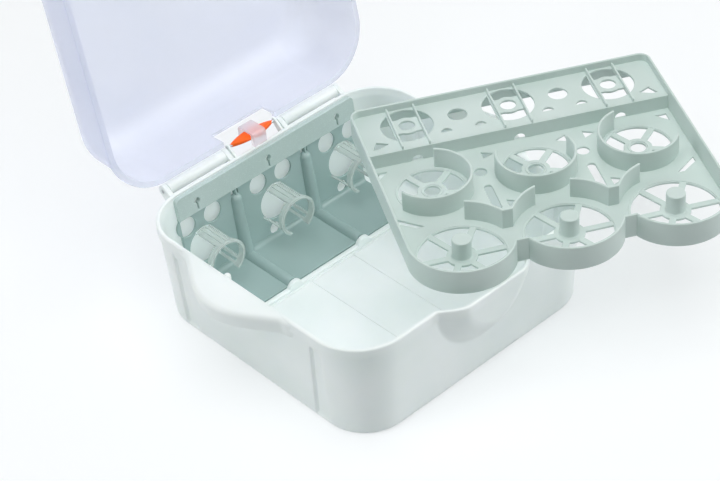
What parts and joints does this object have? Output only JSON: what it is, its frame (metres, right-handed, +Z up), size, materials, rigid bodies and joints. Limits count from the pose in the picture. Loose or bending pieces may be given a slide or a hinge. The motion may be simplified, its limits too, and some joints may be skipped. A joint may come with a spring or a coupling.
{
  "type": "microwave sterilizer",
  "caption": "White tub with a grey bottle rack and neck collars, a lobed teat tray laid across its rims, and a frosted lid open on its rear hinge.",
  "frame": {"origin": "centre of the tub's underside, on the surface it stands on", "axes": "+Z up, -Y towards the front wall with the grip bulge, +Y towards the rear wall with the bottle rack, the hinge and the rear latch"},
  "size_m": [0.4153, 0.4429, 0.3464],
  "materials": {
    "white_plastic": "moulded white polypropylene, satin gloss",
    "grey_plastic": "moulded grey-green polypropylene, fine satin",
    "collar_plastic": "slightly translucent grey polypropylene",
    "frosted_plastic": "frosted clear polypropylene",
    "keeper_plastic": "frosted clear polypropylene",
    "orange_plastic": "moulded orange ABS",
    "pin_steel": "plain drawn steel pin"
  },
  "bodies": {
    "root": {"base_tub": "white_plastic", "bottle_rack": "grey_plastic", "neck_collar_1": "collar_plastic", "neck_collar_2": "collar_plastic", "neck_collar_3": "collar_plastic", "hinge_pin_left": "pin_steel", "hinge_pin_right": "pin_steel", "rear_latch_pin": "pin_steel", "rear_latch_keeper": "keeper_plastic"},
    "tray": {"teat_tray": "grey_plastic", "ring_arc_1": "grey_plastic", "ring_arc_2": "grey_plastic", "ring_arc_3": "grey_plastic", "teat_post_1": "grey_plastic", "teat_post_2": "grey_plastic", "teat_post_3": "grey_plastic", "wing_wall_1": "grey_plastic", "wing_wall_2": "grey_plastic"},
    "lid": {"lid_shell": "frosted_plastic", "lid_barrel_left": "white_plastic", "lid_barrel_right": "white_plastic", "front_latch_pin": "pin_steel"},
    "rear_latch": {"rear_latch": "orange_plastic"},
    "front_latch": {"front_latch": "orange_plastic"}
  },
  "joints": [
    {"name": "tray_lift", "type": "slide", "parent": "root", "child": "tray", "axis": [0, 0, 1], "range_m": [0, 0.13]},
    {"name": "lid_hinge", "type": "hinge", "parent": "root", "child": "lid", "pos_m": [0, 0.13, 0.086], "axis": [1, 0, 0], "range_deg": [0, 82]},
    {"name": "rear_latch_turn", "type": "hinge", "parent": "root", "child": "rear_latch", "pos_m": [0, 0.131, 0.0905], "axis": [1, 0, 0], "range_deg": [0, 40]},
    {"name": "front_latch_turn", "type": "hinge", "parent": "lid", "child": "front_latch", "pos_m": [0, 0.18464, 0.34058], "axis": [1, 0, 0], "range_deg": [0, 75]}
  ]
}
